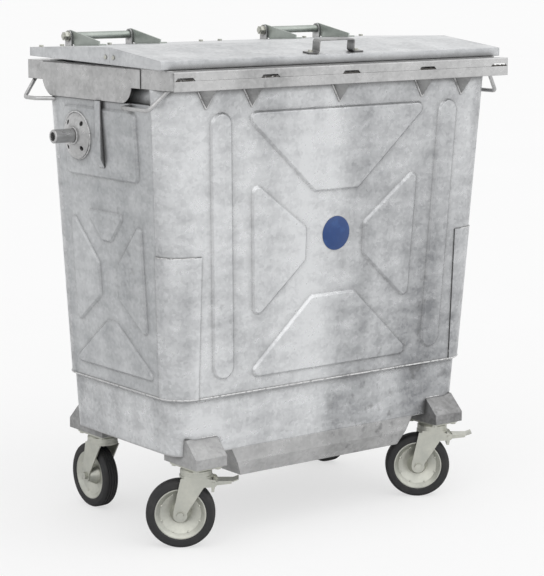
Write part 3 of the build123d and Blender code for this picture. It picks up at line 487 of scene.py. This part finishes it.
# ---------------------------------------------------------------- mesh making
@dataclass
class Shape:
    """Vertices and faces of one piece, in millimetres of the row frame."""

    points: List[Vector] = field(default_factory=list)
    faces: List[Tuple[int, ...]] = field(default_factory=list)
    bead_sides: int = 7
    bead_step: float = 0.9
    end_share: float = 0.45
    sharp_angle: float = 40.0

    def add(self, points: Sequence[Vector], faces: Sequence[Sequence[int]]) -> None:
        """Append points, and faces that count from the first of them."""
        start = len(self.points)
        self.points.extend(points)
        self.faces.extend(tuple(start + index for index in face) for face in faces)

    def turned(
        self,
        profile: Sequence[Tuple[float, float]],
        place: Matrix,
        steps: int,
        closed: bool = False,
    ) -> None:
        """Add a surface of revolution about the local X axis.

        Args:
            profile: pairs of x and radius.
            place: matrix from the local frame.
            steps: segments round the axis.
            closed: join the last ring to the first.
        """
        points = []
        for turn in range(steps):
            angle = 2 * math.pi * turn / steps
            for x, radius in profile:
                local = Vector((x, radius * math.cos(angle), radius * math.sin(angle)))
                points.append(place @ local)
        rings = len(profile)
        last = rings if closed else rings - 1
        faces = []
        for turn in range(steps):
            after = (turn + 1) % steps
            for ring in range(last):
                other = (ring + 1) % rings
                faces.append((
                    turn * rings + ring, turn * rings + other,
                    after * rings + other, after * rings + ring,
                ))
        self.add(points, faces)

    def bead(
        self, path: Sequence[Vector], radius: float, closed: bool = False, seed: int = 0
    ) -> None:
        """Add a rippled weld bead along a path.

        Args:
            path: points of the bead's middle.
            radius: mean radius.
            closed: join the end to the start.
            seed: start of the ripple pattern.
        """
        line = evenly(path, radius * self.bead_step, closed)
        count, sides = len(line), self.bead_sides
        points = []
        for index, middle in enumerate(line):
            after = line[(index + 1) % count] if closed or index + 1 < count else middle
            before = line[index - 1] if closed or index > 0 else middle
            along = (after - before).normalized()
            side = along.cross(Vector((0, 0, 1)))
            if side.length < 0.2:
                side = along.cross(Vector((0, 1, 0)))
            side.normalize()
            up = along.cross(side)
            ripple = 0.16 * math.sin(index * 1.9 + seed)
            swell = 1 + ripple + 0.12 * math.sin(index * 0.71 + 2 * seed)
            if not closed and index in (0, count - 1):
                swell *= self.end_share
            for corner in range(sides):
                angle = 2 * math.pi * corner / sides
                offset = side * math.cos(angle) + up * math.sin(angle)
                points.append(middle + offset * radius * swell)
        faces = []
        for index in range(count if closed else count - 1):
            after = (index + 1) % count
            for corner in range(sides):
                other = (corner + 1) % sides
                faces.append((
                    index * sides + corner, index * sides + other,
                    after * sides + other, after * sides + corner,
                ))
        if not closed:
            faces.append(tuple(reversed(range(sides))))
            faces.append(tuple((count - 1) * sides + corner for corner in range(sides)))
        self.add(points, faces)

    def lump(self, middle: Vector, size: Point, seed: int) -> None:
        """Add a rounded, uneven lump.

        Args:
            middle: its centre.
            size: half extents.
            seed: start of the unevenness.
        """
        rows, columns = 5, 9
        points = [middle + Vector((0, 0, size[2]))]
        for row in range(1, rows):
            tilt = math.pi * row / rows
            for column in range(columns):
                turn = 2 * math.pi * column / columns
                uneven = 1 + 0.18 * math.sin(3.1 * column + 1.7 * row + seed)
                points.append(middle + Vector((
                    size[0] * uneven * math.sin(tilt) * math.cos(turn),
                    size[1] * uneven * math.sin(tilt) * math.sin(turn),
                    size[2] * math.cos(tilt),
                )))
        points.append(middle - Vector((0, 0, size[2])))
        faces: List[Tuple[int, ...]] = []
        for column in range(columns):
            other = (column + 1) % columns
            faces.append((0, 1 + column, 1 + other))
            for row in range(rows - 2):
                base = 1 + row * columns
                faces.append((
                    base + column, base + columns + column, base + columns + other, base + other
                ))
            base = 1 + (rows - 2) * columns
            faces.append((base + column, len(points) - 1, base + other))
        self.add(points, faces)

    def piece(
        self, name: str, body: str, material: bpy.types.Material
    ) -> bpy.types.Object:
        """Make the Blender object.

        Args:
            name: piece name.
            body: CAD body that it rides on.
            material: its material.

        Returns:
            The object, in metres.
        """
        mesh = bpy.data.meshes.new(name)
        mesh.from_pydata([point * MM for point in self.points], [], self.faces)
        mesh.materials.append(material)
        mesh.update()
        mesh.shade_smooth()
        mesh.set_sharp_from_angle(angle=math.radians(self.sharp_angle))
        made = bpy.data.objects.new(name, mesh)
        bpy.context.scene.collection.objects.link(made)
        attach(made, body)
        log.info("piece %s on %s: %d faces", name, body, len(self.faces))
        return made

    def on_container(self, name: str, paint: Paint, finish: Finish = Finish.WELD) -> None:
        """Make the Blender object, as a piece that is fixed to the container.

        Args:
            name: piece name.
            paint: hands out the materials.
            finish: its finish.
        """
        self.piece(name, "container", paint.get(finish))


def evenly(path: Sequence[Vector], step: float, closed: bool) -> List[Vector]:
    """Points at an even step along a path.

    Args:
        path: corner points.
        step: distance between points.
        closed: return to the start.

    Returns:
        The new points.
    """
    corners = list(path) + ([path[0]] if closed else [])
    line: List[Vector] = []
    for first, second in zip(corners, corners[1:]):
        count = max(1, round((second - first).length / step))
        line.extend(first.lerp(second, index / count) for index in range(count))
    if not closed:
        line.append(corners[-1])
    return line


# ---------------------------------------------------------------- sub-assemblies
@dataclass
class WallShape:
    """The tapered walls' lean, shared by all that sits on them."""

    ledge_z: float = 442.0
    half_width: float = 552.0
    front: float = 294.0
    rear: float = 306.0
    side_slope: float = 0.060
    front_slope: float = 0.050
    rear_slope: float = 0.012
    radius: float = 78.0
    emboss: float = 6.0

    def side_x(self, z: float) -> float:
        """Half width at a height."""
        return self.half_width + self.side_slope * (z - self.ledge_z)

    def front_y(self, z: float) -> float:
        """Front face at a height."""
        return -(self.front + self.front_slope * (z - self.ledge_z))

    def rear_y(self, z: float) -> float:
        """Rear face at a height."""
        return self.rear + self.rear_slope * (z - self.ledge_z)

    def outline(self, z: float, grow: float, steps: int = 8) -> List[Vector]:
        """Rounded outline of the body at a height.

        Args:
            z: height.
            grow: distance outside the wall.
            steps: segments in each corner.

        Returns:
            Points round the body.
        """
        half, radius = self.side_x(z), self.radius
        front, rear = self.front_y(z) + radius, self.rear_y(z) - radius
        corners = ((half - radius, rear, 0), (radius - half, rear, 90),
                   (radius - half, front, 180), (half - radius, front, 270))
        points = []
        for x, y, start in corners:
            for step in range(steps + 1):
                angle = math.radians(start + 90 * step / steps)
                reach = radius + grow
                along, across = reach * math.cos(angle), reach * math.sin(angle)
                points.append(Vector((x + along, y + across, z)))
        return points


@dataclass
class Body:
    """The container's walls, rim, comb receiver, guards and trunnions."""

    walls: WallShape = field(default_factory=WallShape)
    rim_z: float = 1317.0
    guard_top_z: float = 850.0
    guard_sheet: float = 3.0
    gusset_x: Tuple[float, ...] = (-472.0, -315.0, 0.0, 315.0, 472.0)
    gusset_half: float = 30.0
    gusset_low_z: float = 1262.0
    notch_x: Tuple[float, ...] = (-577.0, -290.0, 0.0, 290.0, 577.0)
    rail_y: float = -389.0
    notch_z: float = 1346.5
    notch_lumps: int = 9
    notch_pitch: float = 6.7
    notch_half: float = 27.0
    lump_size: Point = (4.6, 1.7, 3.6)
    disc_x: float = 5.0
    disc_z: float = 878.0
    disc_radius: float = 50.0
    disc_thickness: float = 1.2
    trunnion_y: float = 120.0
    trunnion_z: float = 1166.0
    collar_radius: float = 22.0
    flange_radius: float = 68.0
    flange_dome: float = 15.0
    ring_steps: int = 48
    weld_radius: float = 2.4
    neck_weld_radius: float = 2.2
    guard_weld_radius: float = 2.0
    stitch_radius: float = 1.8
    stitch_points: int = 9
    stitch_share: float = 0.45
    stitch_low: float = 20.0
    stitch_short: float = 10.0
    stitch_lift: float = 1.0

    def dress(self, paint: Paint) -> None:
        """Give the container's nodes their finishes.

        Args:
            paint: hands out the materials.
        """
        paint.node(("front_wall", "rear_wall", "tub_wall", "corner_guards"), Finish.WALL)
        # painted shade: the side walls and their stiffeners get the darker copy of the sheet
        paint.node(("left_wall", "right_wall", "side_stiffeners"), Finish.SHADED_SIDE)
        paint.node(("floor_pan", "rim_frame", "skirt_left", "skirt_right"), Finish.FRAME)
        paint.node(("comb_rail_upper", "comb_rail_lower"), Finish.FRAME)
        # painted shade: the gussets under the rail get the dark sheet
        paint.node(("comb_gussets",), Finish.HOOD)
        paint.node(("trunnion_left", "trunnion_right"), Finish.FRAME)
        paint.node(("trunnion_flange_left", "trunnion_flange_right", "hinge_lugs"), Finish.FRAME)
        paint.node([f"carry_handle_{name}" for name in CASTORS], Finish.FRAME)
        paint.node([f"castor_bracket_{name}" for name in CASTORS], Finish.HOOD)
        paint.node(("castor_bolts", "hinge_bolts"), Finish.ZINC)

    def build(self, paint: Paint) -> None:
        """Build the welds and the blue disc.

        Args:
            paint: hands out the materials.
        """
        self._seams(paint)
        self._gusset_welds(paint)
        self._notch_welds(paint)
        self._disc(paint)
        self._trunnion_welds(paint)

    def _seams(self, paint: Paint) -> None:
        """Weld round the ledge, and round the corner guards.

        Args:
            paint: hands out the materials.
        """
        ledge_z, middle = self.walls.ledge_z, self.guard_sheet * 0.5
        ledge = Shape()
        ledge.bead(self.walls.outline(ledge_z, 0.6), self.weld_radius, closed=True)
        ledge.on_container("ledge_weld", paint)
        guards = Shape()
        for hand in (-1, 1):
            for z, grow in ((self.guard_top_z, middle + 0.2), (ledge_z + 1.5, middle + 1.04)):
                inner = self.walls.side_x(z) - self.walls.radius - 1
                ring = self.walls.outline(z, grow)
                band = [point for point in ring if point.x * hand > inner and point.y < 0]
                guards.bead(band, self.guard_weld_radius, seed=hand)
            for on_front in (False, True):
                path = self._guard_edge(hand, on_front)
                for start in range(0, self.stitch_points - 1, 2):
                    high = path[start].lerp(path[start + 1], self.stitch_share)
                    guards.bead([path[start], high], self.stitch_radius, seed=start)
        guards.on_container("guard_welds", paint)

    def _guard_edge(self, hand: int, on_front: bool) -> List[Vector]:
        """Points up one upright edge of a corner guard.

        Args:
            hand: -1 for the left guard, 1 for the right one.
            on_front: the edge on the front wall, not the one on the side wall.

        Returns:
            The points from low to high, just outside the sheet.
        """
        low = self.walls.ledge_z + self.stitch_low
        rise = self.guard_top_z - self.stitch_short - low
        path = []
        for step in range(self.stitch_points):
            z = low + step * rise / (self.stitch_points - 1)
            x, y = self.walls.side_x(z), self.walls.front_y(z)
            if on_front:
                path.append(Vector((hand * (x - self.walls.radius), y - self.stitch_lift, z)))
            else:
                path.append(Vector((hand * (x + self.stitch_lift), y + self.walls.radius, z)))
        return path

    def _gusset_welds(self, paint: Paint) -> None:
        """Weld along both edges of each gusset.

        Args:
            paint: hands out the materials.
        """
        low_y = self.walls.front_y(self.gusset_low_z) - self.stitch_lift
        top_y = self.walls.front_y(self.rim_z) - self.stitch_lift
        welds = Shape()
        for number, x in enumerate(self.gusset_x):
            point = Vector((x, low_y, self.gusset_low_z))
            for hand in (-1, 1):
                top = Vector((x + hand * self.gusset_half, top_y, self.rim_z - 3))
                welds.bead([point, top], self.weld_radius, seed=number)
        welds.on_container("gusset_welds", paint)

    def _notch_welds(self, paint: Paint) -> None:
        """Dark rough weld in each notch of the upper rail.

        Args:
            paint: hands out the materials.
        """
        y = self.rail_y + 1.2
        welds = Shape()
        for number, x in enumerate(self.notch_x):
            for step in range(self.notch_lumps):
                z = self.notch_z + 1.1 * math.sin(step * 2.3)
                place = Vector((x - self.notch_half + self.notch_pitch * step, y, z))
                welds.lump(place, self.lump_size, number * 7 + step)
        welds.on_container("notch_welds", paint, Finish.BURNT)

    def _disc(self, paint: Paint) -> None:
        """Plain blue disc on the flat middle of the front wall.

        Args:
            paint: hands out the materials.
        """
        lean = math.atan(self.walls.front_slope)
        wall_y = self.walls.front_y(self.disc_z)
        middle = Matrix.Translation((self.disc_x, wall_y, self.disc_z))
        outward = Matrix.Rotation(-math.pi / 2, 4, "Z")
        tilt = Matrix.Rotation(lean, 4, "X")
        place = middle @ tilt @ outward
        radius, thick = self.disc_radius, self.disc_thickness
        profile = [(0.05, radius), (thick * 0.7, radius), (thick, radius - 0.6), (thick, TIP)]
        disc = Shape()
        disc.turned(profile, place, 64)
        disc.on_container("blue_disc", paint, Finish.DISC)

    def _trunnion_welds(self, paint: Paint) -> None:
        """Rings of weld round each flange and each pin's collar.

        Args:
            paint: hands out the materials.
        """
        face = self.walls.side_x(self.trunnion_z) + self.walls.emboss + self.flange_dome + 0.8
        neck_reach = self.collar_radius + 0.8
        welds = Shape()
        for hand in (-1, 1):
            ring, neck = [], []
            for step in range(self.ring_steps):
                angle = 2 * math.pi * step / self.ring_steps
                y, z = math.cos(angle), math.sin(angle)
                height = self.trunnion_z + self.flange_radius * z
                wall = self.walls.side_x(height) + self.walls.emboss + 1
                depth = self.trunnion_y + self.flange_radius * y
                ring.append(Vector((hand * wall, depth, height)))
                depth = self.trunnion_y + neck_reach * y
                neck.append(Vector((hand * face, depth, self.trunnion_z + neck_reach * z)))
            welds.bead(ring, self.weld_radius, closed=True, seed=hand)
            welds.bead(neck, self.neck_weld_radius, closed=True, seed=hand + 3)
        welds.on_container("trunnion_welds", paint)


@dataclass
class Lid:
    """The two-sheet lid with its strap, arms and bolts."""

    front_y: float = -340.0
    ridge_y: float = -90.0
    ridge_z: float = 1426.0
    front_z: float = 1398.0
    strap_y: float = -305.0
    strap_bolt_x: float = 84.0
    foot_thickness: float = 3.9
    washer: Profile = ((0, 9.0), (1.2, 9.0), (1.6, 8.4), (1.6, TIP))
    bolt_head: Profile = ((1.4, 6.6), (4.6, 6.6), (5.4, 5.6), (5.4, TIP))

    def front_slope(self) -> float:
        """Rise of the front sheet towards the ridge."""
        return (self.ridge_z - self.front_z) / (self.ridge_y - self.front_y)

    def dress(self, paint: Paint) -> None:
        """Give the lid's nodes their finishes.

        Args:
            paint: hands out the materials.
        """
        paint.node(("lid_front_panel", "lid_rear_panel"), Finish.LID)
        paint.node(("lid_ridge_channel", "lid_side_splices"), Finish.FRAME)
        paint.node(("lid_rivets", "lid_bolts"), Finish.ZINC)
        paint.node(("lid_strap_handle",), Finish.HOOD)
        paint.node(("hinge_arms", "hinge_tubes"), Finish.ARM)

    def build(self, paint: Paint) -> None:
        """Build the bolts of the strap's feet.

        Args:
            paint: hands out the materials.
        """
        lean = Matrix.Rotation(math.atan(self.front_slope()), 4, "X")
        upright = Matrix.Rotation(-math.pi / 2, 4, "Y")
        z = self.front_z + self.front_slope() * (self.strap_y - self.front_y)
        bolts = Shape()
        for hand in (-1, 1):
            point = (hand * self.strap_bolt_x, self.strap_y, z + self.foot_thickness)
            place = Matrix.Translation(point) @ lean @ upright
            bolts.turned(self.washer, place, 32)
            bolts.turned(self.bolt_head, place, 6)
        bolts.piece("strap_bolts", "lid", paint.get(Finish.ZINC))


@dataclass(frozen=True)
class CastorPlace:
    """Where one castor stands and which way it trails."""

    pivot: Tuple[float, float]
    heading: float

    def matrix(self) -> Matrix:
        """From the castor's own frame to the row frame, in millimetres."""
        turn = Matrix.Rotation(math.radians(self.heading), 4, "Z")
        return Matrix.Translation((*self.pivot, 0)) @ turn


CASTORS: Dict[str, CastorPlace] = {
    "front_left": CastorPlace((-452.0, -249.0), 143.1301),
    "front_right": CastorPlace((452.0, -249.0), 143.1301),
    "rear_left": CastorPlace((-452.0, 244.75), 90.0),
    "rear_right": CastorPlace((452.0, 244.75), 90.0),
}


@dataclass
class Castor:
    """One castor: tyre with grooves, rim rivets and bracket welds."""

    name: str
    radius: float = 100.0
    width: float = 48.0
    bead_radius: float = 74.0
    trail: float = 45.0
    groove_depth: float = 2.2
    rivet_circle: float = 59.0
    rivets: int = 8
    rivet_x: float = 11.4
    rivet_head: Profile = ((-2.0, 4.2), (0.8, 4.0), (2.0, 2.8), (2.5, TIP))
    grooves: Tuple[float, ...] = (-13.0, -4.5, 4.5, 13.0)
    bracket_half: float = 54.0
    hood_z: float = 325.0
    fold_z: float = 276.0
    tub_inset: float = 10.0
    weld_radius: float = 2.6

    def axle(self) -> Matrix:
        """Local X along the axle, at the wheel's middle."""
        middle = Matrix.Translation((self.trail, 0, self.radius))
        return CASTORS[self.name].matrix() @ middle @ Matrix.Rotation(math.pi / 2, 4, "Z")

    def tyre_profile(self) -> List[Tuple[float, float]]:
        """Closed section of the tyre: x along the axle, and radius."""
        half, crown = self.width / 2, self.radius
        side = [(-half + 3, self.bead_radius), (-half + 0.3, self.bead_radius + 3),
                (-half, self.bead_radius + 6), (-half + 0.9, self.bead_radius + 10),
                (-half + 0.1, crown - 11), (-half + 1.2, crown - 6.5), (-half + 4, crown - 3)]
        tread = []
        for groove in self.grooves:
            rise = 0.0 if abs(groove) < 10 else 0.4
            tread += [(groove - 2.0, crown - rise), (groove - 1.4, crown - self.groove_depth),
                      (groove + 1.4, crown - self.groove_depth), (groove + 2.0, crown - rise)]
        return side + tread + [(-x, radius) for x, radius in reversed(side)]

    def dress(self, paint: Paint) -> None:
        """Give the castor's nodes their finishes.

        Args:
            paint: hands out the materials.
        """
        parts = ["castor_plate", "castor_fork", "castor_axle", "wheel_rim"]
        if self.name.startswith("front"):
            parts.append("brake_pedal")
        paint.node([f"{part}_{self.name}" for part in parts], Finish.ZINC)

    def build(self, paint: Paint) -> None:
        """Build the tyre, the rim's rivets and the bracket's weld.

        Args:
            paint: hands out the materials.
        """
        body = f"wheel_{self.name}"
        tyre = Shape()
        tyre.turned(self.tyre_profile(), self.axle(), 96, closed=True)
        made = tyre.piece(f"tyre_{self.name}", body, paint.get(Finish.RUBBER))
        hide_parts(f"wheel_tyre_{self.name}")
        self._rivets(paint)
        self._welds(paint)

    def _rivets(self, paint: Paint) -> None:
        """Round heads on both faces of the rim's flat web.

        Args:
            paint: hands out the materials.
        """
        rivets = Shape()
        for hand in (-1, 1):
            turn = Matrix.Rotation(0 if hand > 0 else math.pi, 4, "Z")
            for step in range(self.rivets):
                angle = 2 * math.pi * (step + 0.5) / self.rivets
                y, z = self.rivet_circle * math.cos(angle), self.rivet_circle * math.sin(angle)
                middle = Matrix.Translation((hand * self.rivet_x, y, z))
                rivets.turned(self.rivet_head, self.axle() @ middle @ turn, 12)
        body, material = f"wheel_{self.name}", paint.get(Finish.ZINC)
        rivets.piece(f"rim_rivets_{self.name}", body, material)

    def _welds(self, paint: Paint) -> None:
        """Bead along the top of the hood, where it meets the flat of the tub.

        Args:
            paint: hands out the materials.
        """
        walls = WallShape()
        x, y = CASTORS[self.name].pivot
        if y < 0:
            face = walls.front_y(self.fold_z) + self.tub_inset - 0.5
        else:
            face = walls.rear_y(self.fold_z) - self.tub_inset + 0.5
        flat = walls.side_x(self.hood_z) - self.tub_inset - walls.radius
        start = max(x - self.bracket_half, -flat) + 1
        end = min(x + self.bracket_half, flat) - 1
        ends = [Vector((start, face, self.hood_z)), Vector((end, face, self.hood_z))]
        welds = Shape()
        welds.bead(ends, self.weld_radius, seed=int(x) % 7)
        welds.on_container(f"bracket_weld_{self.name}", paint)


# ---------------------------------------------------------------- studio
@dataclass(frozen=True)
class Sun:
    """One broad, soft light: rotation in degrees, level, and apparent size in degrees."""

    name: str
    turn: Point
    strength: float
    spread: float


@dataclass
class Studio:
    """Floor, light and camera."""

    camera_place: Point = (-3652.3, -4790.1, 1700.5)
    yaw: float = 0.653
    pitch: float = 0.169
    lens: float = 125.01
    sensor: float = 36.0
    floor_half: float = 150.0
    floor_dark: Colour = (0.90, 0.90, 0.90, 1)
    floor_light: Colour = (0.93, 0.93, 0.93, 1)
    floor_glow: float = 0.6
    world_level: float = 0.62
    far_clip: float = 400.0
    suns: Tuple[Sun, ...] = (
        Sun("key light", (52, 0, -14), 1.5, 115),
        Sun("fill light", (48, 0, 75), 0.35, 115),
    )

    def build(self) -> None:
        """Build all of it."""
        bpy.context.scene.view_settings.view_transform = "Standard"
        self._floor()
        self._world()
        for sun in self.suns:
            self._sun(sun)
        self._camera()

    def _floor(self) -> None:
        """Pale floor that keeps the shadow."""
        book = NodeBook.material("pale floor")
        tone = book.noise(Pattern(0.8, 2.0))
        colour = book.mix(tone, self.floor_dark, self.floor_light)
        matt = book.add("ShaderNodeBsdfDiffuse", {}, {"Color": colour})
        glow = book.add("ShaderNodeEmission", {}, {"Color": WHITE, "Strength": 1.0})
        share = book.ray("Is Camera Ray") * self.floor_glow
        mixed = book.add("ShaderNodeMixShader", {}, {0: share, 1: matt, 2: glow})
        book.add("ShaderNodeOutputMaterial", {}, {"Surface": mixed})
        mesh = bpy.data.meshes.new("floor")
        half = self.floor_half
        corners = [(-half, -half, 0), (half, -half, 0), (half, half, 0), (-half, half, 0)]
        mesh.from_pydata(corners, [], [(0, 1, 2, 3)])
        mesh.materials.append(book.owner)
        floor = bpy.data.objects.new("floor", mesh)
        bpy.context.scene.collection.objects.link(floor)

    def _world(self) -> None:
        """White where it is seen or mirrored, a plain level elsewhere."""
        world = bpy.data.worlds.new("soft studio")
        bpy.context.scene.world = world
        book = NodeBook(world)
        mirrored = book.ray("Is Glossy Ray").larger(book.ray("Is Transmission Ray"))
        values = {"Value": book.ray("Is Camera Ray").larger(mirrored), "To Min": self.world_level}
        level = book.add("ShaderNodeMapRange", {}, values)
        back = book.add("ShaderNodeBackground", {}, {"Color": WHITE, "Strength": level})
        book.add("ShaderNodeOutputWorld", {}, {"Surface": back})

    def _sun(self, sun: Sun) -> None:
        """Hang one light.

        Args:
            sun: the light.
        """
        data = bpy.data.lights.new(sun.name, "SUN")
        data.energy = sun.strength
        data.angle = math.radians(sun.spread)
        lamp = bpy.data.objects.new(sun.name, data)
        lamp.rotation_euler = tuple(math.radians(value) for value in sun.turn)
        bpy.context.scene.collection.objects.link(lamp)

    def _camera(self) -> None:
        """Camera at the photograph's angle."""
        data = bpy.data.cameras.new("camera")
        data.lens = self.lens
        data.sensor_width = self.sensor
        data.clip_end = self.far_clip
        camera = bpy.data.objects.new("camera", data)
        camera.location = Vector(self.camera_place) * MM
        camera.rotation_euler = (math.pi / 2 - self.pitch, 0, -self.yaw)
        bpy.context.scene.collection.objects.link(camera)
        bpy.context.scene.camera = camera


def main() -> None:
    """Build the studio, then the object from the body outward."""
    logging.basicConfig(level=logging.INFO, format="%(name)s: %(message)s")
    Studio().build()
    paint = Paint()
    parts: List[Any] = [Body(), Lid()] + [Castor(name) for name in CASTORS]
    for part in parts:
        part.dress(paint)
        part.build(paint)
        log.info("built %s", type(part).__name__)


if __name__ == "__main__":
    main()
